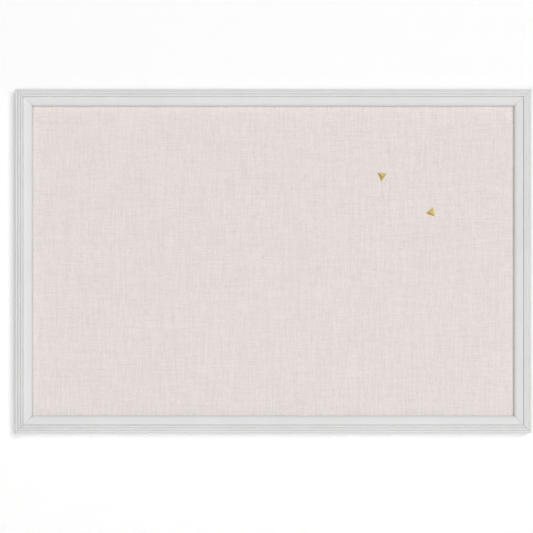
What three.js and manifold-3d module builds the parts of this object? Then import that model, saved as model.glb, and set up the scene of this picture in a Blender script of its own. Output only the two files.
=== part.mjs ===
// A framed linen pin board that hangs on a wall, with two pyramid-headed push pins.
//
// The part stands upright as it hangs: X runs to the right, Y runs away from the viewer into the
// wall and Z runs up. The origin is the middle of the wall plane, which the two wall bumpers touch,
// so every piece lies at Y <= 0. All sizes are millimetres.

import * as THREE from "three";
import { mergeVertices } from "three/addons/utils/BufferGeometryUtils.js";
import Module from "manifold-3d";

const wasm = await Module();
wasm.setup();

// Driving dimensions: the frame
const BOARD_WIDTH = 762;
const BOARD_HEIGHT = 508;
const MOULDING_WIDTH = 25;
const OUTER_REED_WIDTH = 4.2;
const MIDDLE_REED_WIDTH = 4.2;
const CROWN_REED_WIDTH = 3.6;
const SIDE_HEIGHT = 19.2;
const REED_RISE = 2;
const REED_EDGE_RADIUS = 1.7;
const OUTER_EDGE_RADIUS = 2.1;
const REED_FLAT = 0.16;
const QUIRK_WIDTH = 0.9;
const QUIRK_DEPTH = 1.1;
const BAND_QUIRK_WIDTH = 0.6;
const BAND_QUIRK_DEPTH = 0.6;
const BAND_DROP = 2.5;
const BAND_WIDTH = 3.9;
const BAND_FALL = 0.8;
const LIP_ROLL_HEIGHT = 3.6;
const REBATE_WIDTH = 5.6;
const REBATE_DEPTH = 10.4;
const MITRE_GAP = 0.1;
const MITRE_EASING = 0.3;

// Driving dimensions: the pin panel, from the linen back to the backing board
const PANEL_SIDE_CLEARANCE = 0.8;
const LINEN_THICKNESS = 0.5;
const LINEN_RETURN = 18;
const CORK_THICKNESS = 3.2;
const SOFTBOARD_THICKNESS = 3;
const BACKING_THICKNESS = 2;
const GLUE_LINE = 0.1;

// Driving dimensions: the fasteners of the frame and of the panel
const V_NAILS_PER_CORNER = 2;
const V_NAIL_LEG = 3.6;
const V_NAIL_DROP = 2;
const V_NAIL_SHEET = 0.5;
const V_NAIL_LENGTH = 10;
const V_NAIL_RECESS = 0.2;
const POINTS_PER_RAIL = 4;
const POINTS_PER_STILE = 3;
const POINT_WIDTH = 9;
const POINT_SHEET = 0.4;
const POINT_BITE = 5;
const POINT_TIP = 3;
const POINT_REACH = 8;
const DRIVEN_CLEARANCE = 0.15;

// Driving dimensions: the wall hardware
const HANGER_DROP = 130;
const STRAP_WIDTH = 10;
const STRAP_SHEET = 0.5;
const STRAP_SCREW_DROP = 18;
const RING_WIRE_RADIUS = 0.9;
const RING_HALF_WIDTH = 8;
const RING_LENGTH = 11.5;
const RING_CORNER = 2.5;
const RING_CLEARANCE = 0.65;
const SCREW_SHANK_RADIUS = 1.3;
const SCREW_LENGTH = 11;
const SCREW_TIP = 3;
const SCREW_HEAD_RADIUS = 3.3;
const SCREW_HEAD_HEIGHT = 1.7;
const SCREW_SLOT_WIDTH = 0.8;
const SCREW_SLOT_LENGTH = 3.8;
const SCREW_SLOT_DEPTH = 0.9;
const SCREW_CLEARANCE = 0.2;
const BUMPER_RADIUS = 6;
const BUMPER_THICKNESS = 5;
const BUMPER_EDGE = 0.8;
const BUMPER_FROM_CORNER = 45;

// Driving dimensions: the push pins. A place is a distance from the board's middle, and a turn is
// the angle from straight up, clockwise as the viewer sees it, of one corner of the head.
const PIN_HEAD_SIDE = 13.8;
const PIN_HEAD_RIM = 0.7;
const PIN_HEAD_HEIGHT = 3.8;
const PIN_HEAD_TIP_RADIUS = 1.1;
const PIN_HEAD_GAP = 0.3;
const NEEDLE_RADIUS = 0.55;
const NEEDLE_LENGTH = 6.5;
const NEEDLE_POINT = 2.5;
const NEEDLE_IN_HEAD = 2.2;
const NEEDLE_CLEARANCE = 0.25;
const PINS = [
  { name: "upper_pin", x: 160.6, z: 125.7, turn: 185 },
  { name: "lower_pin", x: 233.5, z: 71.7, turn: 260 },
];

// Round counts and angles
const ARC_STEPS = 6;
const LIP_PULL = 0.35;
const NEEDLE_SIDES = 12;
const SCREW_SIDES = 20;
const BUMPER_SIDES = 28;
const EYE_STEPS = 10;
const RING_STEPS = 44;
const RING_SIDES = 8;

// Finishes
const finish = (color, roughness, metalness = 0) =>
  new THREE.MeshStandardMaterial({ color, roughness, metalness });
const PAINTED_WOOD = finish(0xe3e4e2, 0.45);
const LINEN = finish(0xe2dad6, 0.95);
const CORK = finish(0xb98d5e, 0.95);
const SOFTBOARD = finish(0xc9b79a, 0.95);
const HARDBOARD = finish(0x7c5b3f, 0.75);
const ZINC_STEEL = finish(0xb9babc, 0.4, 1);
const BRASS = finish(0xc9a94f, 0.3, 1);
const RUBBER = finish(0x4a4a4c, 0.7);

// Places that several pieces share. A height is measured forwards from the back of the frame.
const SOLID_WIDTH = MOULDING_WIDTH - REBATE_WIDTH;
const FRAME_BACK_Y = -BUMPER_THICKNESS;
const PANEL_WIDTH = BOARD_WIDTH - 2 * (SOLID_WIDTH + PANEL_SIDE_CLEARANCE);
const PANEL_HEIGHT = BOARD_HEIGHT - 2 * (SOLID_WIDTH + PANEL_SIDE_CLEARANCE);
const LINEN_FRONT = REBATE_DEPTH - GLUE_LINE;
const CORK_FRONT = LINEN_FRONT - LINEN_THICKNESS - GLUE_LINE;
const SOFTBOARD_FRONT = CORK_FRONT - CORK_THICKNESS - GLUE_LINE;
const SOFTBOARD_BACK = SOFTBOARD_FRONT - SOFTBOARD_THICKNESS;
const LINEN_BACK = SOFTBOARD_BACK - GLUE_LINE - LINEN_THICKNESS;
const BACKING_FRONT = LINEN_BACK - GLUE_LINE;
const BACKING_BACK = BACKING_FRONT - BACKING_THICKNESS;
const POINT_FRONT = BACKING_BACK - GLUE_LINE;
const EYE_RADIUS = RING_WIRE_RADIUS + RING_CLEARANCE + STRAP_SHEET;

const board = new THREE.Group();

// Shapes and solids

// A boolean solid from a closed geometry.
function toSolid(geometry) {
  const bare = geometry.clone();
  bare.deleteAttribute("normal");
  bare.deleteAttribute("uv");
  const merged = mergeVertices(bare, 1e-4);
  return new wasm.Manifold(
    new wasm.Mesh({
      numProp: 3,
      vertProperties: merged.attributes.position.array,
      triVerts: new Uint32Array(merged.index.array),
    }),
  );
}

// A geometry from a boolean solid.
function toGeometry(solid) {
  const mesh = solid.getMesh();
  const geometry = new THREE.BufferGeometry();
  geometry.setAttribute("position", new THREE.BufferAttribute(mesh.vertProperties, 3));
  geometry.setIndex(new THREE.BufferAttribute(mesh.triVerts, 1));
  geometry.computeVertexNormals();
  return geometry;
}

function subtract(geometry, cutters) {
  const solid = cutters.reduce((left, cutter) => left.subtract(toSolid(cutter)), toSolid(geometry));
  return toGeometry(solid);
}

// A named piece in its group.
function addPiece(group, name, geometry, material) {
  const piece = new THREE.Mesh(geometry, material);
  piece.name = name;
  group.add(piece);
  return piece;
}

// Cuts a seat in a host piece for a fastener that is already in place. The seat's shape is given in
// the fastener's own frame.
function cutSeat(host, fastener, seat) {
  board.updateMatrixWorld(true);
  const toHost = host.matrixWorld.clone().invert().multiply(fastener.matrixWorld);
  host.geometry = subtract(host.geometry, [seat.clone().applyMatrix4(toHost)]);
}

// A box between two heights above the frame's back, centred on the board.
function slab(width, height, back, front) {
  const geometry = new THREE.BoxGeometry(width, front - back, height);
  return geometry.translate(0, FRAME_BACK_Y - (front + back) / 2, 0);
}

// A plate of a given outline in the X-Z plane, from Y 0 towards the viewer.
function plate(outline, thickness) {
  const geometry = new THREE.ExtrudeGeometry(outline, {
    depth: thickness,
    bevelEnabled: false,
    curveSegments: ARC_STEPS,
  });
  return geometry.rotateX(Math.PI / 2);
}

// A round rod along Y.
function rod(radius, from, to, sides) {
  const geometry = new THREE.CylinderGeometry(radius, radius, to - from, sides);
  return geometry.translate(0, (from + to) / 2, 0);
}

// The frame: four mitred lengths of one moulding

// The moulding's section: x is the distance in from the board's edge, y the height above its back.
// Three reeds climb from the outer edge to the crown, with a quirk, a fine groove, at the foot of each
// step. The last step drops to a broad band, which falls gently and rolls over to the lip that covers
// the panel's edge.
function mouldingSection() {
  const crownFrom = OUTER_REED_WIDTH + MIDDLE_REED_WIDTH;
  const bandFrom = crownFrom + CROWN_REED_WIDTH;
  const middleTop = SIDE_HEIGHT + REED_RISE;
  const crownTop = middleTop + REED_RISE;
  const bandTop = crownTop - BAND_DROP;
  const section = new THREE.Shape();
  section.moveTo(0, 0);
  section.lineTo(SOLID_WIDTH, 0);
  section.lineTo(SOLID_WIDTH, REBATE_DEPTH);
  section.lineTo(MOULDING_WIDTH, REBATE_DEPTH);
  const bandFoot = bandFrom + BAND_QUIRK_WIDTH;
  lipRoll(section, bandFoot, bandTop);
  section.lineTo(bandFoot, bandTop);
  section.lineTo(bandFrom, bandTop - BAND_QUIRK_DEPTH);
  reedTop(section, bandFrom, crownFrom, crownTop, REED_EDGE_RADIUS, REED_EDGE_RADIUS);
  section.lineTo(crownFrom, middleTop - QUIRK_DEPTH);
  const middleInner = crownFrom - QUIRK_WIDTH;
  reedTop(section, middleInner, OUTER_REED_WIDTH, middleTop, QUIRK_DEPTH, REED_EDGE_RADIUS);
  section.lineTo(OUTER_REED_WIDTH, SIDE_HEIGHT - QUIRK_DEPTH);
  const outerInner = OUTER_REED_WIDTH - QUIRK_WIDTH;
  reedTop(section, outerInner, 0, SIDE_HEIGHT, QUIRK_DEPTH, OUTER_EDGE_RADIUS);
  section.closePath();
  return section;
}

// The lip, drawn outwards: its face, then a roll that flattens until it meets the band's slope. The roll
// takes the width that the reeds and the band leave, and is upright at its steepest.
function lipRoll(section, bandFoot, bandTop) {
  const rollFrom = bandFoot + BAND_WIDTH;
  const rollWidth = MOULDING_WIDTH - rollFrom;
  const rollTop = bandTop - BAND_FALL;
  const lipTop = rollTop - LIP_ROLL_HEIGHT;
  const bandSlope = Math.atan2(BAND_FALL, BAND_WIDTH);
  const rollTurn = 2 * Math.atan2(LIP_ROLL_HEIGHT, rollWidth);
  const lipSlope = Math.min(Math.PI / 2, bandSlope + rollTurn);
  const pull = LIP_PULL * rollWidth;
  section.lineTo(MOULDING_WIDTH, lipTop);
  section.bezierCurveTo(
    MOULDING_WIDTH - pull * Math.cos(lipSlope),
    lipTop + pull * Math.sin(lipSlope),
    rollFrom + pull * Math.cos(bandSlope),
    rollTop - pull * Math.sin(bandSlope),
    rollFrom,
    rollTop,
  );
}

// A reed's top, drawn outwards: its inner shoulder, which starts a given depth below the top, its flat
// and its outer edge. A narrow reed limits both rounds, so that its least flat is left.
function reedTop(section, inner, outer, top, shoulderDepth, outerRadius) {
  const room = inner - outer - REED_FLAT;
  const share = Math.min(1, room / (REED_EDGE_RADIUS + outerRadius));
  const shoulder = share * REED_EDGE_RADIUS;
  const edge = share * outerRadius;
  const from = Math.asin(1 - Math.min(shoulderDepth, shoulder) / shoulder);
  const middle = inner - shoulder * Math.cos(from);
  section.absarc(middle, top - shoulder, shoulder, from, Math.PI / 2);
  section.absarc(outer + edge, top - edge, edge, Math.PI / 2, Math.PI);
}

// One length of moulding along X, its outer edge at Z 0 and its back at Y 0. Both ends are mitred, and
// the edges of each mitre are eased, so that a fine V shows along the joint. The section is extruded over
// a short span with a bevel at each end, and each layer of points is then moved out to its mitre.
function mitredLength(length) {
  const span = 1;
  const geometry = new THREE.ExtrudeGeometry(mouldingSection(), {
    depth: span,
    bevelThickness: span,
    bevelSize: MITRE_EASING,
    bevelOffset: -MITRE_EASING,
    bevelSegments: 1,
    curveSegments: ARC_STEPS,
  });
  const position = geometry.attributes.position;
  const reach = length / 2 - MITRE_GAP / Math.SQRT2;
  for (let i = 0; i < position.count; i += 1) {
    const inwards = position.getX(i);
    const height = position.getY(i);
    const layer = position.getZ(i);
    const end = layer < span / 2 ? 1 : -1;
    const easing = layer < 0 || layer > span ? 0 : MITRE_EASING;
    position.setXYZ(i, end * (reach - inwards - easing), -height, -inwards);
  }
  return geometry;
}

// Each side is a group whose X runs along the rail and whose Z points out of the board.
const RAIL = { length: BOARD_WIDTH, from: BOARD_HEIGHT / 2, points: POINTS_PER_RAIL };
const STILE = { length: BOARD_HEIGHT, from: BOARD_WIDTH / 2, points: POINTS_PER_STILE };
const SIDES = [
  { name: "top", piece: "frame_top_rail", turn: 0, ...RAIL },
  { name: "right", piece: "frame_right_stile", turn: 90, ...STILE },
  { name: "bottom", piece: "frame_bottom_rail", turn: 180, ...RAIL },
  { name: "left", piece: "frame_left_stile", turn: 270, ...STILE },
];

const sideGroups = {};
const rails = {};
for (const side of SIDES) {
  const group = new THREE.Group();
  group.rotation.y = THREE.MathUtils.degToRad(side.turn);
  group.position.set(0, FRAME_BACK_Y, side.from).applyEuler(group.rotation);
  board.add(group);
  sideGroups[side.name] = group;
  rails[side.name] = addPiece(group, side.piece, mitredLength(side.length), PAINTED_WOOD);
}

// V-nails: bent steel strips, driven into the back of each mitre to draw its two rails together

function vNail(clearance, recess) {
  const leg = V_NAIL_LEG + clearance;
  const half = V_NAIL_SHEET / 2 + clearance;
  const outline = new THREE.Shape([
    new THREE.Vector2(-leg, -V_NAIL_DROP - half),
    new THREE.Vector2(0, -half),
    new THREE.Vector2(leg, -V_NAIL_DROP - half),
    new THREE.Vector2(leg, -V_NAIL_DROP + half),
    new THREE.Vector2(0, half),
    new THREE.Vector2(-leg, -V_NAIL_DROP + half),
  ]);
  const length = recess + V_NAIL_LENGTH + 2 * clearance;
  return plate(outline, length).translate(0, recess + clearance, 0);
}

const CORNERS = [
  { name: "top_right", x: 1, z: 1, sides: ["top", "right"] },
  { name: "bottom_right", x: 1, z: -1, sides: ["right", "bottom"] },
  { name: "bottom_left", x: -1, z: -1, sides: ["bottom", "left"] },
  { name: "top_left", x: -1, z: 1, sides: ["left", "top"] },
];

for (const corner of CORNERS) {
  for (let i = 1; i <= V_NAILS_PER_CORNER; i += 1) {
    const inwards = (SOLID_WIDTH * i) / (V_NAILS_PER_CORNER + 1);
    const nail = addPiece(board, `v_nail_${corner.name}_${i}`, vNail(0, 0), ZINC_STEEL);
    nail.position.set(
      corner.x * (BOARD_WIDTH / 2 - inwards),
      FRAME_BACK_Y - V_NAIL_RECESS,
      corner.z * (BOARD_HEIGHT / 2 - inwards),
    );
    nail.rotation.y = Math.atan2(corner.x, corner.z);
    const slot = vNail(DRIVEN_CLEARANCE, V_NAIL_RECESS);
    for (const side of corner.sides) cutSeat(rails[side], nail, slot);
  }
}

// The pin panel: linen over cork and softboard, closed by a hardboard back

// The linen is wrapped round the edges of the two boards and glued down behind them.
function linenCover() {
  const wrap = 2 * (LINEN_THICKNESS + GLUE_LINE);
  const boards = slab(
    PANEL_WIDTH - wrap,
    PANEL_HEIGHT - wrap,
    SOFTBOARD_BACK - GLUE_LINE,
    CORK_FRONT + GLUE_LINE,
  );
  const window = slab(
    PANEL_WIDTH - 2 * LINEN_RETURN,
    PANEL_HEIGHT - 2 * LINEN_RETURN,
    LINEN_BACK - LINEN_THICKNESS,
    SOFTBOARD_FRONT,
  );
  return subtract(slab(PANEL_WIDTH, PANEL_HEIGHT, LINEN_BACK, LINEN_FRONT), [boards, window]);
}

const coreWidth = PANEL_WIDTH - 2 * (LINEN_THICKNESS + 2 * GLUE_LINE);
const coreHeight = PANEL_HEIGHT - 2 * (LINEN_THICKNESS + 2 * GLUE_LINE);
const corkGeometry = slab(coreWidth, coreHeight, SOFTBOARD_FRONT + GLUE_LINE, CORK_FRONT);
const softboardGeometry = slab(coreWidth, coreHeight, SOFTBOARD_BACK, SOFTBOARD_FRONT);
const linen = addPiece(board, "linen_cover", linenCover(), LINEN);
const cork = addPiece(board, "cork_sheet", corkGeometry, CORK);
const softboard = addPiece(board, "softboard_core", softboardGeometry, SOFTBOARD);
const backingGeometry = slab(PANEL_WIDTH, PANEL_HEIGHT, BACKING_BACK, BACKING_FRONT);
addPiece(board, "backing_board", backingGeometry, HARDBOARD);

// Framer's points: flat steel tabs, driven into the rebate's wall behind the backing board

function framerPoint(clearance) {
  const half = POINT_WIDTH / 2 + clearance;
  const bite = POINT_BITE + clearance;
  const outline = new THREE.Shape([
    new THREE.Vector2(-half, -POINT_REACH),
    new THREE.Vector2(half, -POINT_REACH),
    new THREE.Vector2(half, bite - POINT_TIP),
    new THREE.Vector2(0, bite),
    new THREE.Vector2(-half, bite - POINT_TIP),
  ]);
  return plate(outline, POINT_SHEET + 2 * clearance).translate(0, clearance, 0);
}

for (const side of SIDES) {
  const rebateLength = side.length - 2 * SOLID_WIDTH;
  for (let i = 1; i <= side.points; i += 1) {
    const name = `framer_point_${side.name}_${i}`;
    const point = addPiece(sideGroups[side.name], name, framerPoint(0), ZINC_STEEL);
    const along = rebateLength * ((i - 0.5) / side.points - 0.5);
    point.position.set(along, POINT_SHEET - POINT_FRONT, -SOLID_WIDTH);
    cutSeat(rails[side.name], point, framerPoint(DRIVEN_CLEARANCE));
  }
}

// Wall hardware: a folded strap with a free ring, screwed to the back of each stile

// The strap is one strip folded round the ring's bar. Seen from the side it is a flat tail of two
// layers, hanging below a round eye whose middle is the origin.
function hangerStrap() {
  const tail = STRAP_SCREW_DROP + STRAP_WIDTH / 2;
  const layers = 2 * STRAP_SHEET;
  const meeting = Math.PI + Math.asin((EYE_RADIUS - layers) / EYE_RADIUS);
  const profile = new THREE.Shape();
  profile.moveTo(-tail, -EYE_RADIUS);
  profile.lineTo(0, -EYE_RADIUS);
  profile.absarc(0, 0, EYE_RADIUS, -Math.PI / 2, meeting);
  profile.lineTo(-tail, layers - EYE_RADIUS);
  profile.closePath();
  const bore = new THREE.Path();
  bore.absarc(0, 0, RING_WIRE_RADIUS + RING_CLEARANCE, 0, 2 * Math.PI);
  profile.holes.push(bore);
  const folded = new THREE.ExtrudeGeometry(profile, {
    depth: STRAP_WIDTH,
    bevelEnabled: false,
    curveSegments: EYE_STEPS,
  });
  folded.translate(0, 0, -STRAP_WIDTH / 2);
  folded.applyMatrix4(
    new THREE.Matrix4().makeBasis(
      new THREE.Vector3(0, 0, 1),
      new THREE.Vector3(0, 1, 0),
      new THREE.Vector3(-1, 0, 0),
    ),
  );
  return toGeometry(toSolid(folded).intersect(toSolid(strapOutline())));
}

// The strap's outline seen from behind: straight sides and a round lower end.
function strapOutline() {
  const half = STRAP_WIDTH / 2;
  const outline = new THREE.Shape();
  outline.moveTo(half, EYE_RADIUS);
  outline.lineTo(-half, EYE_RADIUS);
  outline.lineTo(-half, -STRAP_SCREW_DROP);
  outline.absarc(0, -STRAP_SCREW_DROP, half, Math.PI, 2 * Math.PI);
  outline.closePath();
  return plate(outline, 2 * EYE_RADIUS).translate(0, EYE_RADIUS, 0);
}

// The ring is bent from wire: a straight bar along X through the eye, and a bow that hangs from it.
function hangerRing() {
  const at = (x, z) => new THREE.Vector3(x, 0, z);
  const bar = RING_HALF_WIDTH - RING_CORNER;
  const line = new THREE.CurvePath();
  const bend = (from, corner, to) => line.add(new THREE.QuadraticBezierCurve3(from, corner, to));
  line.add(new THREE.LineCurve3(at(-bar, 0), at(bar, 0)));
  bend(at(bar, 0), at(RING_HALF_WIDTH, 0), at(RING_HALF_WIDTH, -RING_CORNER));
  bend(at(RING_HALF_WIDTH, -RING_CORNER), at(RING_HALF_WIDTH, -RING_LENGTH), at(0, -RING_LENGTH));
  bend(at(0, -RING_LENGTH), at(-RING_HALF_WIDTH, -RING_LENGTH), at(-RING_HALF_WIDTH, -RING_CORNER));
  bend(at(-RING_HALF_WIDTH, -RING_CORNER), at(-RING_HALF_WIDTH, 0), at(-bar, 0));
  return new THREE.TubeGeometry(line, RING_STEPS, RING_WIRE_RADIUS, RING_SIDES, true);
}

// A round-headed wood screw with a crossed slot. It points towards the viewer, and its head's
// underside is at the origin.
function woodScrew() {
  const turned = new THREE.LatheGeometry(
    [
      new THREE.Vector2(0, -SCREW_LENGTH),
      new THREE.Vector2(SCREW_SHANK_RADIUS, SCREW_TIP - SCREW_LENGTH),
      new THREE.Vector2(SCREW_SHANK_RADIUS, 0),
      new THREE.Vector2(SCREW_HEAD_RADIUS, 0),
      new THREE.Vector2(SCREW_HEAD_RADIUS, SCREW_HEAD_HEIGHT / 2),
      new THREE.Vector2(SCREW_HEAD_RADIUS * Math.SQRT1_2, SCREW_HEAD_HEIGHT),
      new THREE.Vector2(0, SCREW_HEAD_HEIGHT),
    ],
    SCREW_SIDES,
  );
  const slotMiddle = SCREW_HEAD_HEIGHT;
  const slot = (x, z) => new THREE.BoxGeometry(x, 2 * SCREW_SLOT_DEPTH, z).translate(0, slotMiddle, 0);
  return subtract(turned, [
    slot(SCREW_SLOT_WIDTH, SCREW_SLOT_LENGTH),
    slot(SCREW_SLOT_LENGTH, SCREW_SLOT_WIDTH),
  ]);
}

const screwHole = rod(
  SCREW_SHANK_RADIUS + SCREW_CLEARANCE,
  -SCREW_LENGTH - SCREW_CLEARANCE,
  SCREW_CLEARANCE,
  SCREW_SIDES,
);

for (const [name, hand] of [["left", -1], ["right", 1]]) {
  const hanger = new THREE.Group();
  hanger.position.set(
    hand * (BOARD_WIDTH / 2 - SOLID_WIDTH / 2),
    FRAME_BACK_Y + EYE_RADIUS + GLUE_LINE,
    BOARD_HEIGHT / 2 - HANGER_DROP,
  );
  board.add(hanger);
  const strap = addPiece(hanger, `${name}_hanger_strap`, hangerStrap(), ZINC_STEEL);
  addPiece(hanger, `${name}_hanger_ring`, hangerRing(), ZINC_STEEL);
  const screw = addPiece(hanger, `${name}_hanger_screw`, woodScrew(), ZINC_STEEL);
  screw.position.set(0, 2 * STRAP_SHEET - EYE_RADIUS + GLUE_LINE, -STRAP_SCREW_DROP);
  cutSeat(strap, screw, screwHole);
  cutSeat(rails[name], screw, screwHole);
}

// Wall bumpers: rubber feet at the lower corners that keep the board off the wall
function wallBumper() {
  return new THREE.LatheGeometry(
    [
      new THREE.Vector2(0, GLUE_LINE),
      new THREE.Vector2(BUMPER_RADIUS, GLUE_LINE),
      new THREE.Vector2(BUMPER_RADIUS, BUMPER_THICKNESS - BUMPER_EDGE),
      new THREE.Vector2(BUMPER_RADIUS - BUMPER_EDGE, BUMPER_THICKNESS),
      new THREE.Vector2(0, BUMPER_THICKNESS),
    ],
    BUMPER_SIDES,
  );
}

for (const [name, hand] of [["left", -1], ["right", 1]]) {
  const bumper = addPiece(board, `${name}_wall_bumper`, wallBumper(), RUBBER);
  bumper.position.set(
    hand * (BOARD_WIDTH / 2 - BUMPER_FROM_CORNER),
    FRAME_BACK_Y,
    SOLID_WIDTH / 2 - BOARD_HEIGHT / 2,
  );
}

// Push pins: a three-sided brass pyramid on a steel needle

// The head's base is at the origin and its tip points towards the viewer.
function pinHead() {
  const baseRadius = PIN_HEAD_SIDE / Math.sqrt(3);
  const pyramid = new THREE.LatheGeometry(
    [
      new THREE.Vector2(0, -PIN_HEAD_HEIGHT),
      new THREE.Vector2(PIN_HEAD_TIP_RADIUS, -PIN_HEAD_HEIGHT),
      new THREE.Vector2(baseRadius, -PIN_HEAD_RIM),
      new THREE.Vector2(baseRadius, 0),
      new THREE.Vector2(0, 0),
    ],
    3,
  );
  return subtract(pyramid, [needleHole(-NEEDLE_IN_HEAD - NEEDLE_CLEARANCE, NEEDLE_CLEARANCE)]);
}

function needleHole(from, to) {
  return rod(NEEDLE_RADIUS + NEEDLE_CLEARANCE, from, to, NEEDLE_SIDES);
}

function pinNeedle() {
  return new THREE.LatheGeometry(
    [
      new THREE.Vector2(0, -NEEDLE_IN_HEAD),
      new THREE.Vector2(NEEDLE_RADIUS, -NEEDLE_IN_HEAD),
      new THREE.Vector2(NEEDLE_RADIUS, NEEDLE_LENGTH - NEEDLE_POINT),
      new THREE.Vector2(0, NEEDLE_LENGTH),
    ],
    NEEDLE_SIDES,
  );
}

for (const pin of PINS) {
  const group = new THREE.Group();
  group.position.set(pin.x, FRAME_BACK_Y - LINEN_FRONT - PIN_HEAD_GAP, pin.z);
  board.add(group);
  const needle = addPiece(group, `${pin.name}_needle`, pinNeedle(), ZINC_STEEL);
  const head = addPiece(group, `${pin.name}_head`, pinHead(), BRASS);
  head.rotation.y = THREE.MathUtils.degToRad(pin.turn);
  const hole = needleHole(-PIN_HEAD_GAP, NEEDLE_LENGTH + NEEDLE_CLEARANCE);
  for (const layer of [linen, cork, softboard]) cutSeat(layer, needle, hole);
}

export default board;
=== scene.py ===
# %% [markdown]
# # A framed linen memo board
# The board hangs on a white wall. A painted, mitred moulding frames a panel of cork covered with
# linen, and two brass push pins stand in the linen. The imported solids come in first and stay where
# they are: this lesson gives them their finishes, and makes the cloth anew, because cloth isn't a block.

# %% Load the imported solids
import math

import bmesh
import bpy
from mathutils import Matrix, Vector


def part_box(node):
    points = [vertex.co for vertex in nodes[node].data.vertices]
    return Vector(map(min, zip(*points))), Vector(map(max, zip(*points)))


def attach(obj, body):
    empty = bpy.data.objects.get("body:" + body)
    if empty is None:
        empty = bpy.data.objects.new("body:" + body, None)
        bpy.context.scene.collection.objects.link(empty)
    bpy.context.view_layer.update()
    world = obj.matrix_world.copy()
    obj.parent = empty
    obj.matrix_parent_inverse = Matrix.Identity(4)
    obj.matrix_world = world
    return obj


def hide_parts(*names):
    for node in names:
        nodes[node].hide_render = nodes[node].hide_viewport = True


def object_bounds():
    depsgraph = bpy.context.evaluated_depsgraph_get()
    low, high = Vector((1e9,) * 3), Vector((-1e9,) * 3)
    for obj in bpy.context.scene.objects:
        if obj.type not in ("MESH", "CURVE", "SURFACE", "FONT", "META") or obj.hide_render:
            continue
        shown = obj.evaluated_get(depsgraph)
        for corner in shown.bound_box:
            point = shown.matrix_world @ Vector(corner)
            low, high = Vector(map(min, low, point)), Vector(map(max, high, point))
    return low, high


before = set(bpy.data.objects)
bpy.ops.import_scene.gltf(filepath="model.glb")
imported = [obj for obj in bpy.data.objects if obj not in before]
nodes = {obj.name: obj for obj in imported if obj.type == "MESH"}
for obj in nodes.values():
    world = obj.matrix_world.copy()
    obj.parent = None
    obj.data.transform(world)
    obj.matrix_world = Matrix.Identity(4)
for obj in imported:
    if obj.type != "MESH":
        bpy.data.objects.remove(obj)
cad_low, cad_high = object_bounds()
MM = 0.001
print(f"{len(nodes)} solids, {(cad_high - cad_low) / MM} mm")

# %% [markdown]
# Three small helpers serve every finish. Colours are written as the hex values that a colour picker
# shows, and Blender's sockets want linear light, so one function turns one into the other. The second
# adds a node, with its settings by name, its inputs as values or as what feeds them, and the stops of
# a colour ramp. The third starts an empty material.

# %% Colour and node helpers
def linear(hex_colour):
    channels = [int(hex_colour[i : i + 2], 16) / 255 for i in (1, 3, 5)]
    curve = [c / 12.92 if c <= 0.04045 else ((c + 0.055) / 1.055) ** 2.4 for c in channels]
    return (*curve, 1.0)


def add_node(tree, kind, inputs=None, stops=(), **settings):
    """Adds a node. An input is a value, a socket that feeds it, or a node whose first output does."""
    made = tree.nodes.new(kind)
    for name, value in settings.items():
        setattr(made, name, value)
    for socket, value in (inputs or {}).items():
        if isinstance(value, bpy.types.Node):
            value = value.outputs[0]
        if isinstance(value, bpy.types.NodeSocket):
            tree.links.new(value, made.inputs[socket])
        else:
            made.inputs[socket].default_value = value
    for i, (position, hex_colour) in enumerate(stops):
        ramp = made.color_ramp.elements
        stop = ramp[i] if i < len(ramp) else ramp.new(position)
        stop.position = position
        stop.color = linear(hex_colour)
    return made


def new_finish(name):
    finish = bpy.data.materials.new(name)
    finish.use_nodes = True
    finish.node_tree.nodes.clear()
    return finish, finish.node_tree


print("middle grey in linear light", [round(c, 3) for c in linear("#808080")])

# %% [markdown]
# The photograph looks straight at the board through a long lens, with the board a little right of and
# above the middle of the picture. So the camera stands opposite the middle of the picture, and the
# board's edges in the picture give the scale.

# %% Camera
PICTURE_SIDE_PX = 533
BOARD_LEFT_PX = 14.8
BOARD_RIGHT_PX = 531.9
BOARD_TOP_PX = 88.5
BOARD_BOTTOM_PX = 433.2
CAMERA_DISTANCE = 3.5
SENSOR_MM = 36

board_width = cad_high.x - cad_low.x
metres_per_px = board_width / (BOARD_RIGHT_PX - BOARD_LEFT_PX)
camera_data = bpy.data.cameras.new("camera")
camera_data.sensor_width = SENSOR_MM
camera_data.lens = SENSOR_MM * CAMERA_DISTANCE / (PICTURE_SIDE_PX * metres_per_px)
camera = bpy.data.objects.new("camera", camera_data)
camera.location = (
    (PICTURE_SIDE_PX - BOARD_LEFT_PX - BOARD_RIGHT_PX) / 2 * metres_per_px,
    cad_low.y - CAMERA_DISTANCE,
    (BOARD_TOP_PX + BOARD_BOTTOM_PX - PICTURE_SIDE_PX) / 2 * metres_per_px,
)
camera.rotation_euler = (math.radians(90), 0, 0)
bpy.context.scene.collection.objects.link(camera)
bpy.context.scene.camera = camera
print(f"lens {camera_data.lens:.0f} mm, {metres_per_px / MM:.3f} mm per pixel")

# %% [markdown]
# The wall is white emulsion and the floor is pale. Both show only their front, so that the views from
# behind and below see the board and not the room. A hole behind the board lets light reach its back.
# A ring of white card from the hole to the frame, seen by light alone, keeps the front of the wall
# clear of that light. The floor takes shadows but casts none, so that it hides no lamp from the board.

# %% Wall and floor
WALL_GAP = 0.3 * MM
WALL_REACH = 4.0
WALL_HOLE_INSET = 1 * MM
FLOOR_DROP = 1.4
FLOOR_FORWARD = 2.0
RECTANGLE_CORNERS = ((-1, -1), (1, -1), (1, 1), (-1, 1))
RING_FACES = [(i, (i + 1) % 4, 4 + (i + 1) % 4, 4 + i) for i in range(4)]


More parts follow.
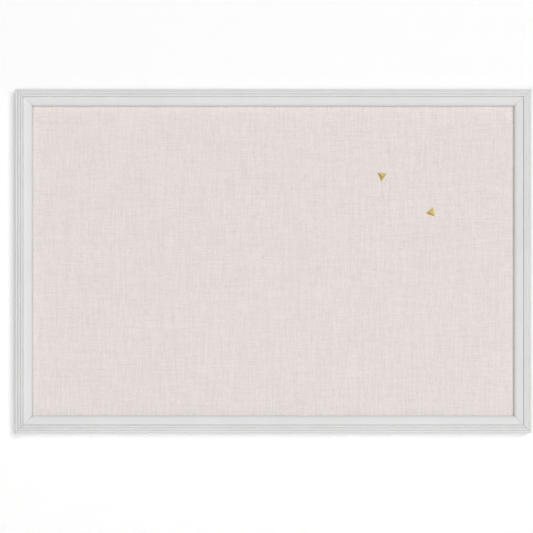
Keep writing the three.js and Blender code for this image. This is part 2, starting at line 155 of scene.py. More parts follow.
def one_sided_finish(name, hex_colour):
    """A plain matt coat that shows from the front alone."""
    finish, tree = new_finish(name)
    paint = add_node(tree, "ShaderNodeBsdfDiffuse", {"Color": linear(hex_colour)})
    clear = add_node(tree, "ShaderNodeBsdfTransparent")
    facing = add_node(tree, "ShaderNodeNewGeometry")
    side = add_node(
        tree, "ShaderNodeMixShader", {0: facing.outputs["Backfacing"], 1: paint, 2: clear}
    )
    add_node(tree, "ShaderNodeOutputMaterial", {"Surface": side})
    return finish


def stage_mesh(name, corners, faces, finish):
    mesh = bpy.data.meshes.new(name)
    mesh.from_pydata(corners, [], faces)
    mesh.materials.append(finish)
    piece = bpy.data.objects.new(name, mesh)
    bpy.context.scene.collection.objects.link(piece)
    return piece


wall_y = cad_high.y + WALL_GAP
hole_x = cad_high.x - WALL_HOLE_INSET
hole_z = cad_high.z - WALL_HOLE_INSET
wall_rim = [(sx * WALL_REACH, wall_y, sz * WALL_REACH) for sx, sz in RECTANGLE_CORNERS]
wall_hole = [(sx * hole_x, wall_y, sz * hole_z) for sx, sz in RECTANGLE_CORNERS]
stage_mesh("wall", wall_rim + wall_hole, RING_FACES, one_sided_finish("white_emulsion", "#FFFFFF"))

frame_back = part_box("frame_top_rail")[1].y
ring_front = [(x, frame_back, z) for x, _, z in wall_hole]
light_ring = stage_mesh(
    "light_ring", wall_hole + ring_front, RING_FACES, one_sided_finish("white_card", "#FFFFFF")
)
light_ring.visible_camera = False

floor_corners = [
    (sx * WALL_REACH, sy * WALL_REACH - FLOOR_FORWARD, -FLOOR_DROP) for sx, sy in RECTANGLE_CORNERS
]
floor = stage_mesh(
    "floor", floor_corners, [(0, 1, 2, 3)], one_sided_finish("pale_floor", "#ECECEA")
)
floor.visible_shadow = False
print(f"wall at {wall_y / MM:.1f} mm, floor {FLOOR_DROP} m below the board's middle")

# %% [markdown]
# The light in the photograph is soft. Most of it comes from the front, a little right of it and above,
# so the board has a soft shadow on the wall to its left, and the frame's lips shade the linen. A weaker
# lamp at the left fills the shadows. A lamp's share is how bright it makes a white board: the shares in
# front, the air's and what the floor throws back add up to about 1, so that a colour comes out as it
# is written. Two lamps behind the wall light the board's back for the other views.

# %% Lamps
LAMP_DISTANCE = 14.0


def softbox(name, azimuth, elevation, width, height, share):
    """An area lamp that faces the board. Its watts give its share of light at the lamp's distance."""
    turn, rise = math.radians(azimuth), math.radians(elevation)
    out = Vector((math.sin(turn) * math.cos(rise), -math.cos(turn) * math.cos(rise), math.sin(rise)))
    lamp = bpy.data.lights.new(name, "AREA")
    lamp.shape = "RECTANGLE"
    lamp.size = width
    lamp.size_y = height
    lamp.energy = share * (math.pi * LAMP_DISTANCE) ** 2 / abs(out.y)
    holder = bpy.data.objects.new(name, lamp)
    holder.location = out * LAMP_DISTANCE
    holder.rotation_euler = out.to_track_quat("Z", "Y").to_euler()
    bpy.context.scene.collection.objects.link(holder)


softbox("key", azimuth=18, elevation=13.5, width=6.0, height=7.0, share=0.528)
softbox("left_fill", azimuth=-18, elevation=-4, width=5.2, height=7.0, share=0.215)
softbox("back_left", azimuth=215, elevation=25, width=5.2, height=5.2, share=0.35)
softbox("back_right", azimuth=140, elevation=15, width=5.2, height=5.2, share=0.25)

# %% [markdown]
# The air of a white room gives some light from all round. The camera sees it as plain white, and so do
# rays that are mirrored or pass through. For all others it is as weak as its share, so that the
# board's shadows stay.

# %% Air
AMBIENT_SHARE = 0.159

world = bpy.data.worlds.new("studio")
world.use_nodes = True
bpy.context.scene.world = world
air = world.node_tree
air.nodes.clear()
ray = add_node(air, "ShaderNodeLightPath").outputs
sharp_ray = add_node(
    air,
    "ShaderNodeMath",
    {0: ray["Is Glossy Ray"], 1: ray["Is Transmission Ray"]},
    operation="MAXIMUM",
)
seen_ray = add_node(
    air, "ShaderNodeMath", {0: ray["Is Camera Ray"], 1: sharp_ray}, operation="MAXIMUM"
)
strength = add_node(air, "ShaderNodeMath", {0: seen_ray, 1: AMBIENT_SHARE}, operation="MAXIMUM")
sky = add_node(air, "ShaderNodeBackground", {"Color": linear("#FFFFFF"), "Strength": strength})
add_node(air, "ShaderNodeOutputWorld", {"Surface": sky})
bpy.context.scene.view_settings.view_transform = "Standard"
print(f"the air gives {AMBIENT_SHARE} of the light of a white board")

# %% [markdown]
# Metal shows what stands round it, and in a white room it looks flat. So a photographer hangs a flag, a
# black card, at one side: here it stands to the left, and only mirror rays see it, so that it darkens one
# side of the pins and nothing else.

# %% Flag
FLAG_X = -3.0
FLAG_FROM_Y, FLAG_TO_Y = -3.0, 0.0
FLAG_FROM_Z, FLAG_TO_Z = -2.0, 3.0

flag_corners = [
    (FLAG_X, FLAG_FROM_Y, FLAG_FROM_Z),
    (FLAG_X, FLAG_TO_Y, FLAG_FROM_Z),
    (FLAG_X, FLAG_TO_Y, FLAG_TO_Z),
    (FLAG_X, FLAG_FROM_Y, FLAG_TO_Z),
]
flag = stage_mesh("flag", flag_corners, [(0, 1, 2, 3)], one_sided_finish("black_card", "#101010"))
flag.visible_camera = False
flag.visible_diffuse = False
flag.visible_transmission = False
flag.visible_shadow = False
print(f"flag {FLAG_TO_Y - FLAG_FROM_Y} m wide, {-FLAG_X} m to the left")

# %% [markdown]
# The solids come in as loose triangles with flat shading. Their meshes could be edited, but then they
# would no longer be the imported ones, so modifiers do the work. One joins the triangles' corners and
# shades the surface smoothly, except across edges that turn sharply. It is a small tree of geometry
# nodes, which all solids share.

# %% Join and smooth
SHARP_TURN = math.radians(32)
JOIN_DISTANCE = 0.002 * MM


def smoothing_group():
    group = bpy.data.node_groups.new("join_and_smooth", "GeometryNodeTree")
    group.interface.new_socket("Geometry", in_out="INPUT", socket_type="NodeSocketGeometry")
    group.interface.new_socket("Geometry", in_out="OUTPUT", socket_type="NodeSocketGeometry")
    solid = add_node(group, "NodeGroupInput")
    joined = add_node(
        group, "GeometryNodeMergeByDistance", {"Geometry": solid, "Distance": JOIN_DISTANCE}
    )
    smooth = add_node(group, "GeometryNodeSetShadeSmooth", {"Geometry": joined}, domain="FACE")
    turn = add_node(group, "GeometryNodeInputMeshEdgeAngle")
    sharp = add_node(
        group,
        "FunctionNodeCompare",
        {0: turn.outputs["Unsigned Angle"], 1: SHARP_TURN},
        operation="GREATER_THAN",
    )
    creased = add_node(
        group,
        "GeometryNodeSetShadeSmooth",
        {"Geometry": smooth, "Selection": sharp, "Shade Smooth": False},
        domain="EDGE",
    )
    add_node(group, "NodeGroupOutput", {0: creased})
    return group


smoothing = smoothing_group()
print(f"{smoothing.name}: edges stay sharp from {math.degrees(SHARP_TURN):.0f} degrees")

# %% [markdown]
# Where a real edge is eased, a bevel follows, and a wire bent from few sides is rounded by subdivision.
# One function dresses a list of solids in all of this and in their finish.

# %% Dress the carried-over solids
def dress(names, finish, easing=0, steps=2, rounds=0):
    """Gives solids a finish, smooth shading and, where set, eased edges or rounding."""
    for name in names:
        solid = nodes[name]
        solid.data.materials.clear()
        solid.data.materials.append(finish)
        solid.modifiers.new("join_and_smooth", "NODES").node_group = smoothing
        if easing:
            bevel = solid.modifiers.new("eased_edges", "BEVEL")
            bevel.width = easing
            bevel.segments = steps
            bevel.limit_method = "ANGLE"
            bevel.angle_limit = SHARP_TURN
            bevel.harden_normals = True
        if rounds:
            rounding = solid.modifiers.new("rounded_wire", "SUBSURF")
            rounding.levels = rounds
            rounding.render_levels = rounds
    print(f"{finish.name}: {len(names)} solids")


print(f"{len(nodes) - 1} solids to dress, and the cloth to make")

# %% [markdown]
# The moulding is pine. The makers spray only what shows, so its back is bare wood with a ragged edge of
# overspray. A mask that is painted by hand would fit one size of board only. This one is worked out: it
# takes the faces that look backwards, and draws them in from the board's edge by a noisy margin.

# %% Bare back of the frame
OVERSPRAY_REACH = 6 * MM
OVERSPRAY_GRAIN = 2.5 * MM
PAINT_ENDS = 0.6 * OVERSPRAY_REACH
WOOD_STARTS = 1.3 * OVERSPRAY_REACH
LOOKS_BACK = 0.5


def bare_share(tree, where):
    """How bare a place is: 0 under paint, 1 on bare wood, and between them in the overspray."""
    place = where.outputs["Object"]
    at = add_node(tree, "ShaderNodeSeparateXYZ", {"Vector": place})
    margins = []
    for axis, half in (("X", cad_high.x), ("Z", cad_high.z)):
        out = add_node(tree, "ShaderNodeMath", {0: at.outputs[axis]}, operation="ABSOLUTE")
        margins.append(add_node(tree, "ShaderNodeMath", {0: half, 1: out}, operation="SUBTRACT"))
    margin = add_node(tree, "ShaderNodeMath", {0: margins[0], 1: margins[1]}, operation="MINIMUM")
    mist = add_node(
        tree, "ShaderNodeTexNoise", {"Vector": place, "Scale": 1 / OVERSPRAY_GRAIN, "Detail": 6.0}
    )
    ragged = add_node(
        tree, "ShaderNodeMath", {0: mist, 1: OVERSPRAY_REACH, 2: margin}, operation="MULTIPLY_ADD"
    )
    unsprayed = add_node(
        tree,
        "ShaderNodeMapRange",
        {"Value": ragged, "From Min": PAINT_ENDS, "From Max": WOOD_STARTS},
        interpolation_type="SMOOTHSTEP",
    )
    facing = add_node(tree, "ShaderNodeSeparateXYZ", {"Vector": where.outputs["Normal"]})
    behind = add_node(
        tree, "ShaderNodeMath", {0: facing.outputs["Y"], 1: LOOKS_BACK}, operation="GREATER_THAN"
    )
    return add_node(tree, "ShaderNodeMath", {0: unsprayed, 1: behind}, operation="MULTIPLY")


print(f"overspray reaches about {OVERSPRAY_REACH / MM:.0f} mm onto the back")

# %% [markdown]
# The front is machined to its reeds and band, primed and sprayed with white satin alkyd paint. Sprayed
# paint has a faint orange-peel skin and a soft sheen, and lies a little thicker in some places than in
# others. Noises in the object's own metres show all this without unwrapping, at the same size on every
# piece. The grain runs along each length, so the rails and the stiles get a finish each.

# %% Frame
PEEL_SIZE = 2.2 * MM
PEEL_HEIGHT = 0.02 * MM
COAT_PATCH = 70 * MM
GRAIN_WIDTH = 3.5 * MM
GRAIN_LENGTH = 160 * MM
GRAIN_HEIGHT = 0.08 * MM
PAINT_ROUGHNESS = 0.5
PINE_ROUGHNESS = 0.8


def satin_paint_on_pine(along):
    """Satin white paint hides the wood and reflects softly; bare pine is warm, streaked and dull."""
    finish, tree = new_finish(f"satin_paint_on_pine_along_{along.lower()}")
    where = add_node(tree, "ShaderNodeTexCoord")
    place = where.outputs["Object"]
    coat = add_node(
        tree, "ShaderNodeTexNoise", {"Vector": place, "Scale": 1 / COAT_PATCH, "Detail": 3.0}
    )
    white = add_node(
        tree, "ShaderNodeValToRGB", {"Fac": coat}, stops=[(0.3, "#DCDCDC"), (0.7, "#E0E0E0")]
    )
    peel = add_node(
        tree, "ShaderNodeTexNoise", {"Vector": place, "Scale": 1 / PEEL_SIZE, "Detail": 2.0}
    )

    stretch = [1 / (GRAIN_LENGTH if axis == along else GRAIN_WIDTH) for axis in "XYZ"]
    drawn_out = add_node(tree, "ShaderNodeMapping", {"Vector": place, "Scale": stretch})
    grain = add_node(
        tree,
        "ShaderNodeTexNoise",
        {"Vector": drawn_out, "Scale": 1.0, "Detail": 5.0, "Roughness": 0.6, "Distortion": 0.6},
    )
    pine = add_node(
        tree,
        "ShaderNodeValToRGB",
        {"Fac": grain},
        stops=[(0.34, "#B58A58"), (0.46, "#D6B583"), (0.62, "#E5CEA3"), (0.72, "#C79F6B")],
    )

    bare = bare_share(tree, where)
    colour = add_node(tree, "ShaderNodeMix", {0: bare, 6: white, 7: pine}, data_type="RGBA")
    dullness = add_node(
        tree,
        "ShaderNodeMath",
        {0: bare, 1: PINE_ROUGHNESS - PAINT_ROUGHNESS, 2: PAINT_ROUGHNESS},
        operation="MULTIPLY_ADD",
    )
    skin = add_node(tree, "ShaderNodeBump", {"Height": peel, "Distance": PEEL_HEIGHT})
    fibres = add_node(
        tree,
        "ShaderNodeBump",
        {"Height": grain, "Distance": GRAIN_HEIGHT, "Strength": bare, "Normal": skin},
    )
    surface = add_node(
        tree,
        "ShaderNodeBsdfPrincipled",
        {
            "Base Color": colour.outputs[2],
            "Roughness": dullness,
            "IOR": 1.5,
            "Specular IOR Level": 0.35,
            "Normal": fibres,
        },
    )
    add_node(tree, "ShaderNodeOutputMaterial", {"Surface": surface})
    return finish


dress(["frame_top_rail", "frame_bottom_rail"], satin_paint_on_pine("X"))
dress(["frame_left_stile", "frame_right_stile"], satin_paint_on_pine("Z"))

# %% [markdown]
# The linen is one sheet, stretched over the cork, turned round the panel's edges and glued down behind.
# A packed block can't show that, so the sheet is built here: a front that swells a little between
# the frame's lips, four edges and the turned-in hems. It needs no simulation, because a stretched cloth
# has no folds.

# %% Cloth mesh
CLOTH_STEP = 9 * MM
CLOTH_RETURN = 18 * MM
CLOTH_CROWN = 0.25 * MM
# The higher this power is, the flatter the cloth's middle, and the nearer to the lips it falls away.
CROWN_POWER = 16

linen_low, linen_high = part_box("linen_cover")
sight_half_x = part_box("frame_right_stile")[0].x
sight_half_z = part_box("frame_top_rail")[0].z


def cloth_mesh():
    """The cloth's outer face: a crowned front, four edges and the returns behind."""
    mesh = bmesh.new()
    width = linen_high.x - linen_low.x
    height = linen_high.z - linen_low.z
    columns = round(width / CLOTH_STEP)
    rows = round(height / CLOTH_STEP)

    def front_point(i, j):
        x = linen_low.x + width * i / columns
        z = linen_low.z + height * j / rows
        inner_x = max(0.0, 1 - (x / sight_half_x) ** CROWN_POWER)
        inner_z = max(0.0, 1 - (z / sight_half_z) ** CROWN_POWER)
        return x, linen_low.y - CLOTH_CROWN * inner_x * inner_z, z

    grid = [[mesh.verts.new(front_point(i, j)) for j in range(rows + 1)] for i in range(columns + 1)]
    for i in range(columns):
        for j in range(rows):
            mesh.faces.new((grid[i][j], grid[i + 1][j], grid[i + 1][j + 1], grid[i][j + 1]))
    rim = [grid[i][0] for i in range(columns)]
    rim += [grid[columns][j] for j in range(rows)]
    rim += [grid[i][rows] for i in range(columns, 0, -1)]
    rim += [grid[0][j] for j in range(rows, 0, -1)]
    edge = [mesh.verts.new((v.co.x, linen_high.y, v.co.z)) for v in rim]

    def drawn_in(v):
        limit_x = width / 2 - CLOTH_RETURN
        limit_z = height / 2 - CLOTH_RETURN
        x = max(-limit_x, min(limit_x, v.co.x))
        z = max(-limit_z, min(limit_z, v.co.z))
        return x, linen_high.y, z

    hem = [mesh.verts.new(drawn_in(v)) for v in edge]
    for outer, inner in ((rim, edge), (edge, hem)):
        for i in range(len(outer)):
            j = (i + 1) % len(outer)
            mesh.faces.new((outer[i], outer[j], inner[j], inner[i]))
    bmesh.ops.remove_doubles(mesh, verts=mesh.verts, dist=JOIN_DISTANCE)
    bmesh.ops.recalc_face_normals(mesh, faces=mesh.faces)
    data = bpy.data.meshes.new("linen")
    mesh.to_mesh(data)
    mesh.free()
    return data


linen_data = cloth_mesh()
print(f"linen: {len(linen_data.polygons)} faces")

# %% [markdown]
# The mesh has no thickness yet, so a modifier thickens it inwards. The cloth rides on the board and
# stands for the imported cover, which is hidden.

# %% Linen cloth
CLOTH_THICKNESS = 0.5 * MM

linen = bpy.data.objects.new("linen_cloth", linen_data)
bpy.context.scene.collection.objects.link(linen)
thickness = linen.modifiers.new("cloth_thickness", "SOLIDIFY")
thickness.thickness = CLOTH_THICKNESS
thickness.offset = -1
thickness.use_even_offset = True
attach(linen, "board")
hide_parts("linen_cover")

# %% [markdown]
# The cloth is a plain weave of half-bleached flax. Flax yarn is uneven: its tone wanders along each
# thread, its thick stretches, the slubs, show as streaks, and here and there a thread keeps a stretch of
# unbleached straw. A picture of cloth would repeat, and plain noise looks cloudy, so the finish is built
# thread by thread. Rounding a place down to whole threads numbers its weft and its warp thread, and
# each number reads a row of its own in a noise.

# %% Flax yarn
# The threads are really about 0.6 mm apart. They are drawn wider, so that they show.
THREAD_PITCH = 1.0 * MM
THREAD_WANDER = 1.2 * MM
# Neighbouring threads read rows of the noise that lie this far apart, so that they don't look alike.
THREAD_ROW = 1.37
# The weft and the warp read sheets of the noise that lie apart too.
WEFT = {"across": "Z", "along": "X", "slub": 36 * MM, "contrast": 1.05, "sheet": 3.5}
WARP = {"across": "X", "along": "Z", "slub": 40 * MM, "contrast": 1.4, "sheet": 7.5}


def spun_yarn(tree, at, wander, yarn):
    """At each place: the thread's number, the height of its round back, its tone and its straw."""
    bent = add_node(
        tree,
        "ShaderNodeMath",
        {0: wander, 1: THREAD_WANDER, 2: at[yarn["across"]]},
        operation="MULTIPLY_ADD",
    )
    count = add_node(tree, "ShaderNodeMath", {0: bent, 1: THREAD_PITCH}, operation="DIVIDE")
    number = add_node(tree, "ShaderNodeMath", {0: count}, operation="FLOOR")
    half_turns = add_node(tree, "ShaderNodeMath", {0: count, 1: math.pi}, operation="MULTIPLY")
    wave = add_node(tree, "ShaderNodeMath", {0: half_turns}, operation="SINE")
    crown = add_node(tree, "ShaderNodeMath", {0: wave}, operation="ABSOLUTE")
    row = add_node(tree, "ShaderNodeMath", {0: number, 1: THREAD_ROW}, operation="MULTIPLY")
    run = add_node(
        tree, "ShaderNodeMath", {0: at[yarn["along"]], 1: yarn["slub"]}, operation="DIVIDE"
    )
    thread = add_node(tree, "ShaderNodeCombineXYZ", {"X": row, "Y": run, "Z": yarn["sheet"]})
    spun = add_node(
        tree,
        "ShaderNodeTexNoise",
        {"Vector": thread, "Scale": 1.0, "Detail": 3.0, "Roughness": 0.75},
    )
    shades = add_node(tree, "ShaderNodeSeparateColor", {"Color": spun.outputs["Color"]}).outputs
    contrast = yarn["contrast"]
    tone = add_node(
        tree,
        "ShaderNodeMath",
        {0: shades["Red"], 1: contrast, 2: (1 - contrast) / 2},
        operation="MULTIPLY_ADD",
    )
    return number, crown, tone, shades["Green"]


print(f"threads {THREAD_PITCH / MM} mm apart")

# %% [markdown]
# In a plain weave, each thread passes over one crossing thread and under the next, so the sum of the two
# threads' numbers, even or odd, says which one lies on top. That one gives the tone and the straw. Its
# round back, which dips where the other thread holds it down, is the knuckle: it raises the relief, and
# it is also painted into the colour, as a painted highlight on the knuckles and painted shade in the gaps
# between threads. Short flecks of fibre lie over both.

# %% Linen weave
WANDER_SIZE = 30 * MM
THREAD_HEIGHT = 0.15 * MM
FLAX_WIDTH = 2.0 * MM
FLAX_LENGTH = 3.6 * MM
FLAX_SHARE = 0.2
# Painted light and shade: the knuckles' height makes the colour lighter on the crowns and darker in the
# gaps between threads, by this much.
KNUCKLE_PAINTED_SHADE = 0.2
STRAW_FROM, STRAW_FULL = 0.66, 0.72


def half_bleached_linen():
    """Flax is matt and uneven: fine streaks, flecks of straw and a fine grid of threads, with painted
    shade in the gaps between them, catch the eye.
    """
    finish, tree = new_finish("half_bleached_plain_weave_linen")
    place = add_node(tree, "ShaderNodeTexCoord").outputs["Object"]
    at = add_node(tree, "ShaderNodeSeparateXYZ", {"Vector": place}).outputs
    wander = add_node(
        tree, "ShaderNodeTexNoise", {"Vector": place, "Scale": 1 / WANDER_SIZE, "Detail": 2.0}
    )
    yarns = [spun_yarn(tree, at, wander, yarn) for yarn in (WEFT, WARP)]
    numbers, crowns, tones, straws = zip(*yarns)
    crossing = add_node(tree, "ShaderNodeMath", {0: numbers[0], 1: numbers[1]}, operation="ADD")
    warp_on_top = add_node(tree, "ShaderNodeMath", {0: crossing, 1: 2.0}, operation="FLOORED_MODULO")
    tone, straw, top, under = [
        add_node(tree, "ShaderNodeMix", {0: warp_on_top, 2: weft, 3: warp})
        for weft, warp in (tones, straws, crowns, reversed(crowns))
    ]
    dip = add_node(tree, "ShaderNodeMath", {0: under}, operation="SQRT")
    knuckle = add_node(tree, "ShaderNodeMath", {0: top, 1: dip}, operation="MULTIPLY")

    stretched = add_node(
        tree,
        "ShaderNodeMapping",
        {"Vector": place, "Scale": (1 / FLAX_WIDTH, 1 / FLAX_WIDTH, 1 / FLAX_LENGTH)},
    )
    flax = add_node(tree, "ShaderNodeTexNoise", {"Vector": stretched, "Scale": 1.0, "Detail": 1.0})
    yarn_tone = add_node(tree, "ShaderNodeMix", {0: FLAX_SHARE, 2: tone, 3: flax})
    # Painted shade: the yarn's tone is lightened on the knuckles and darkened in the gaps between
    # threads.
    tone_and_painted_shade = add_node(
        tree, "ShaderNodeMath", {0: knuckle, 1: KNUCKLE_PAINTED_SHADE, 2: yarn_tone}, operation="MULTIPLY_ADD"
    )
    bleached = add_node(
        tree, "ShaderNodeValToRGB", {"Fac": tone_and_painted_shade}, stops=[(0.42, "#DCD4D1"), (0.78, "#F4ECE9")]
    )
    fleck = add_node(
        tree, "ShaderNodeMapRange", {"Value": straw, "From Min": STRAW_FROM, "From Max": STRAW_FULL}
    )
    colour = add_node(
        tree, "ShaderNodeMix", {0: fleck, 6: bleached, 7: linear("#D3C896")}, data_type="RGBA"
    )
    relief = add_node(tree, "ShaderNodeBump", {"Height": knuckle, "Distance": THREAD_HEIGHT})
    cloth = add_node(
        tree,
        "ShaderNodeBsdfPrincipled",
        {
            "Base Color": colour.outputs[2],
            "Roughness": 0.9,
            "Specular IOR Level": 0.2,
            "Sheen Weight": 0.05,
            "Normal": relief,
        },
    )
    add_node(tree, "ShaderNodeOutputMaterial", {"Surface": cloth})
    return finish


linen_data.materials.append(half_bleached_linen())
print(f"linen finish: {linen_data.materials[0].name}")

# %% [markdown]
# Behind the linen lies a sheet of pressed cork, which grips the pins. Cork is granules of bark in a
# darker binder. The cells of a Voronoi texture are granules already: each has a random colour, and the
# distance to its middle gives its height.

# %% Cork
GRANULE_SIZE = 3 * MM
GRANULE_HEIGHT = 0.2 * MM


def pressed_cork():
    """Cork shows as packed granules, light and dark, each a little raised."""
    finish, tree = new_finish("pressed_cork")
    place = add_node(tree, "ShaderNodeTexCoord").outputs["Object"]
    granules = add_node(tree, "ShaderNodeTexVoronoi", {"Vector": place, "Scale": 1 / GRANULE_SIZE})
    shade = add_node(tree, "ShaderNodeSeparateColor", {"Color": granules.outputs["Color"]})
    bark = add_node(
        tree,
        "ShaderNodeValToRGB",
        {"Fac": shade},
        stops=[(0.1, "#8A5F38"), (0.35, "#B98D5E"), (0.8, "#D0A878")],
    )
    relief = add_node(
        tree, "ShaderNodeBump", {"Height": granules, "Distance": GRANULE_HEIGHT}, invert=True
    )
    surface = add_node(
        tree, "ShaderNodeBsdfPrincipled", {"Base Color": bark, "Roughness": 0.9, "Normal": relief}
    )
    add_node(tree, "ShaderNodeOutputMaterial", {"Surface": surface})
    return finish


dress(["cork_sheet"], pressed_cork())

# %% [markdown]
# The core behind the cork is softboard, felted from wood fibre. A distorted noise tangles as the fibres
# do, and serves for the colour and the relief.

# %% Softboard
FIBRE_SIZE = 1.5 * MM
FIBRE_HEIGHT = 0.3 * MM


def felted_softboard():
    """Softboard is pale, woolly and quite dull, with loose fibres."""
    finish, tree = new_finish("felted_softboard")
    place = add_node(tree, "ShaderNodeTexCoord").outputs["Object"]
    fibres = add_node(
        tree,
        "ShaderNodeTexNoise",
        {"Vector": place, "Scale": 1 / FIBRE_SIZE, "Detail": 4.0, "Distortion": 1.5},
    )
    pulp = add_node(
        tree, "ShaderNodeValToRGB", {"Fac": fibres}, stops=[(0.35, "#B7A283"), (0.65, "#D3C3A6")]
    )
    relief = add_node(tree, "ShaderNodeBump", {"Height": fibres, "Distance": FIBRE_HEIGHT})
    surface = add_node(
        tree, "ShaderNodeBsdfPrincipled", {"Base Color": pulp, "Roughness": 0.95, "Normal": relief}
    )
    add_node(tree, "ShaderNodeOutputMaterial", {"Surface": surface})
    return finish


dress(["softboard_core"], felted_softboard())

# %% [markdown]
# A hardboard back closes the frame. Its rough side, which was pressed against a wire screen, faces the
# wall. Two crossed waves draw the wires' marks, and a fine noise the darker fibres.

# %% Hardboard
# The screen's wires are really about 1.2 mm apart. They are drawn wider, so that they show.
SCREEN_PITCH = 2.4 * MM
SCREEN_HEIGHT = 0.25 * MM
SCREEN_SHADE = 0.04
MOTTLE_SIZE = 5 * MM
BACKING_EDGE = 0.3 * MM


def screened_hardboard():
    """Hardboard is brown and mottled with darker fibre, and its back carries the screen's grid."""
    finish, tree = new_finish("screened_hardboard")
    place = add_node(tree, "ShaderNodeTexCoord").outputs["Object"]
    mottle = add_node(
        tree,
        "ShaderNodeTexNoise",
        {"Vector": place, "Scale": 1 / MOTTLE_SIZE, "Detail": 8.0, "Roughness": 0.7},
    )
    at = add_node(tree, "ShaderNodeSeparateXYZ", {"Vector": place})
    waves = []
    for axis in "XZ":
        phase = add_node(
            tree,
            "ShaderNodeMath",
            {0: at.outputs[axis], 1: 2 * math.pi / SCREEN_PITCH},
            operation="MULTIPLY",
        )
        waves.append(add_node(tree, "ShaderNodeMath", {0: phase}, operation="SINE"))
    screen = add_node(tree, "ShaderNodeMath", {0: waves[0], 1: waves[1]}, operation="MAXIMUM")
    pressed = add_node(
        tree, "ShaderNodeMath", {0: screen, 1: SCREEN_SHADE, 2: mottle}, operation="MULTIPLY_ADD"
    )
    brown = add_node(
        tree,
        "ShaderNodeValToRGB",
        {"Fac": pressed},
        stops=[(0.3, "#553A28"), (0.5, "#75543B"), (0.7, "#8E6C50")],
    )
    relief = add_node(tree, "ShaderNodeBump", {"Height": screen, "Distance": SCREEN_HEIGHT})
    surface = add_node(
        tree, "ShaderNodeBsdfPrincipled", {"Base Color": brown, "Roughness": 0.75, "Normal": relief}
    )
    add_node(tree, "ShaderNodeOutputMaterial", {"Surface": surface})
    return finish


dress(["backing_board"], screened_hardboard(), easing=BACKING_EDGE)

# %% [markdown]
# The pin heads are brass, cast as three-sided pyramids, tumbled until their edges are round, and left
# satin. A sharp edge would catch no light, so a bevel rounds it. Tumbling leaves fine pits, and the
# brass is a little duller in them.

# %% Pin heads
PIN_EDGE = 0.33 * MM
PIN_EDGE_STEPS = 4
PIT_SIZE = 0.5 * MM
PIT_HEIGHT = 0.02 * MM


def tumbled_brass():
    """Tumbled brass is a pale gold that reflects broadly, with no sharp mirror image."""
    finish, tree = new_finish("tumbled_brass")
    place = add_node(tree, "ShaderNodeTexCoord").outputs["Object"]
    pits = add_node(tree, "ShaderNodeTexNoise", {"Vector": place, "Scale": 1 / PIT_SIZE, "Detail": 3.0})
    gold = add_node(
        tree, "ShaderNodeValToRGB", {"Fac": pits}, stops=[(0.3, "#CDB367"), (0.7, "#E0CA80")]
    )
    dullness = add_node(
        tree,
        "ShaderNodeMapRange",
        {"Value": pits, "From Min": 0.3, "From Max": 0.7, "To Min": 0.65, "To Max": 0.55},
    )
    skin = add_node(tree, "ShaderNodeBump", {"Height": pits, "Distance": PIT_HEIGHT})
    metal = add_node(
        tree,
        "ShaderNodeBsdfPrincipled",
        {"Base Color": gold, "Metallic": 1.0, "Roughness": dullness, "Normal": skin},
    )
    add_node(tree, "ShaderNodeOutputMaterial", {"Surface": metal})
    return finish


dress(["upper_pin_head", "lower_pin_head"], tumbled_brass(), easing=PIN_EDGE, steps=PIN_EDGE_STEPS)

# %% [markdown]
# The needles are steel wire, drawn through a die and polished. The die leaves fine lines along the wire:
# a noise that is stretched along the needle draws them.

# %% Needles
DRAW_LINE = 0.1 * MM
DRAW_STRETCH = 20


def drawn_steel():
    """Drawn steel wire is bright, with fine lines along it."""
    finish, tree = new_finish("drawn_steel")
    place = add_node(tree, "ShaderNodeTexCoord").outputs["Object"]
    stretched = add_node(
        tree, "ShaderNodeMapping", {"Vector": place, "Scale": (1, 1 / DRAW_STRETCH, 1)}
    )
    lines = add_node(
        tree, "ShaderNodeTexNoise", {"Vector": stretched, "Scale": 1 / DRAW_LINE, "Detail": 2.0}
    )
    grey = add_node(
        tree, "ShaderNodeValToRGB", {"Fac": lines}, stops=[(0.3, "#B7B9BB"), (0.7, "#D2D4D5")]
    )
    metal = add_node(
        tree, "ShaderNodeBsdfPrincipled", {"Base Color": grey, "Metallic": 1.0, "Roughness": 0.22}
    )
    add_node(tree, "ShaderNodeOutputMaterial", {"Surface": metal})
    return finish


dress(["upper_pin_needle", "lower_pin_needle"], drawn_steel())

# %% [markdown]
# The hangers, screws, points and V-nails are zinc-plated steel. The plating is bright grey with a blue
# cast. It is a little cloudy, and rubbed duller where the parts were tumbled together in the bath. One
# finish serves them all, because they are plated alike.

# %% Steel fittings
CLOUD_SIZE = 4 * MM
RUB_SIZE = 0.6 * MM
RUB_HEIGHT = 0.01 * MM
HANGER_EDGE = 0.12 * MM
POINT_EDGE = 0.08 * MM
HANDS = ("left", "right")


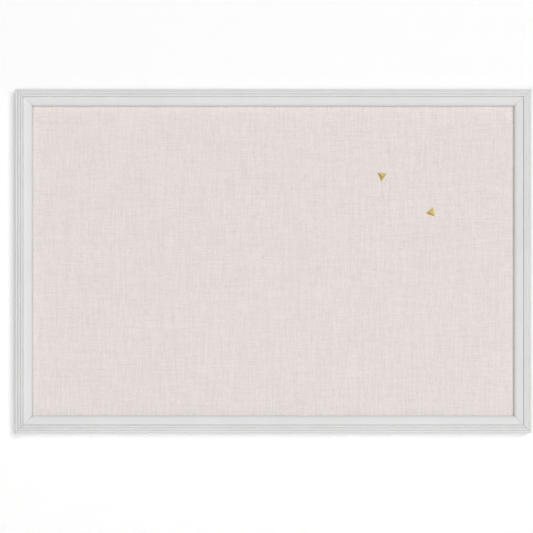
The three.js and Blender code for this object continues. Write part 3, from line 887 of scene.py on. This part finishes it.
def zinc_plated_steel():
    """Zinc plating gives a cool, slightly cloudy grey and a broad gloss."""
    finish, tree = new_finish("zinc_plated_steel")
    place = add_node(tree, "ShaderNodeTexCoord").outputs["Object"]
    clouds = add_node(
        tree, "ShaderNodeTexNoise", {"Vector": place, "Scale": 1 / CLOUD_SIZE, "Detail": 4.0}
    )
    rubs = add_node(tree, "ShaderNodeTexNoise", {"Vector": place, "Scale": 1 / RUB_SIZE, "Detail": 3.0})
    grey = add_node(
        tree, "ShaderNodeValToRGB", {"Fac": clouds}, stops=[(0.3, "#A3A8AD"), (0.7, "#C6C9CC")]
    )
    dullness = add_node(
        tree,
        "ShaderNodeMapRange",
        {"Value": clouds, "From Min": 0.3, "From Max": 0.7, "To Min": 0.45, "To Max": 0.28},
    )
    skin = add_node(tree, "ShaderNodeBump", {"Height": rubs, "Distance": RUB_HEIGHT})
    metal = add_node(
        tree,
        "ShaderNodeBsdfPrincipled",
        {"Base Color": grey, "Metallic": 1.0, "Roughness": dullness, "Normal": skin},
    )
    add_node(tree, "ShaderNodeOutputMaterial", {"Surface": metal})
    return finish


zinc = zinc_plated_steel()
dress([f"{hand}_hanger_strap" for hand in HANDS], zinc, easing=HANGER_EDGE)
dress([f"{hand}_hanger_screw" for hand in HANDS], zinc, easing=HANGER_EDGE)
dress([f"{hand}_hanger_ring" for hand in HANDS], zinc, rounds=1)
dress([name for name in nodes if name.startswith("framer_point")], zinc, easing=POINT_EDGE)
dress([name for name in nodes if name.startswith("v_nail")], zinc)

# %% [markdown]
# The wall bumpers are moulded rubber: dark grey, dull, with a fine grain from the mould and a little
# bloom, the pale dust that rubber sweats out. Two noises give them, one fine for the relief and one
# broad for the colour.

# %% Wall bumpers
MOULD_GRAIN = 0.5 * MM
MOULD_HEIGHT = 0.03 * MM
BLOOM_SIZE = 3 * MM
BUMPER_EDGE = 0.3 * MM


def moulded_rubber():
    """Rubber is dark and dull, with a broad, weak gloss and pale bloom in patches."""
    finish, tree = new_finish("moulded_rubber")
    place = add_node(tree, "ShaderNodeTexCoord").outputs["Object"]
    bloom = add_node(
        tree, "ShaderNodeTexNoise", {"Vector": place, "Scale": 1 / BLOOM_SIZE, "Detail": 4.0}
    )
    grain = add_node(
        tree, "ShaderNodeTexNoise", {"Vector": place, "Scale": 1 / MOULD_GRAIN, "Detail": 2.0}
    )
    grey = add_node(
        tree, "ShaderNodeValToRGB", {"Fac": bloom}, stops=[(0.4, "#2E2E30"), (0.75, "#4B4B4D")]
    )
    skin = add_node(tree, "ShaderNodeBump", {"Height": grain, "Distance": MOULD_HEIGHT})
    surface = add_node(
        tree, "ShaderNodeBsdfPrincipled", {"Base Color": grey, "Roughness": 0.7, "Normal": skin}
    )
    add_node(tree, "ShaderNodeOutputMaterial", {"Surface": surface})
    return finish


dress([f"{hand}_wall_bumper" for hand in HANDS], moulded_rubber(), easing=BUMPER_EDGE)
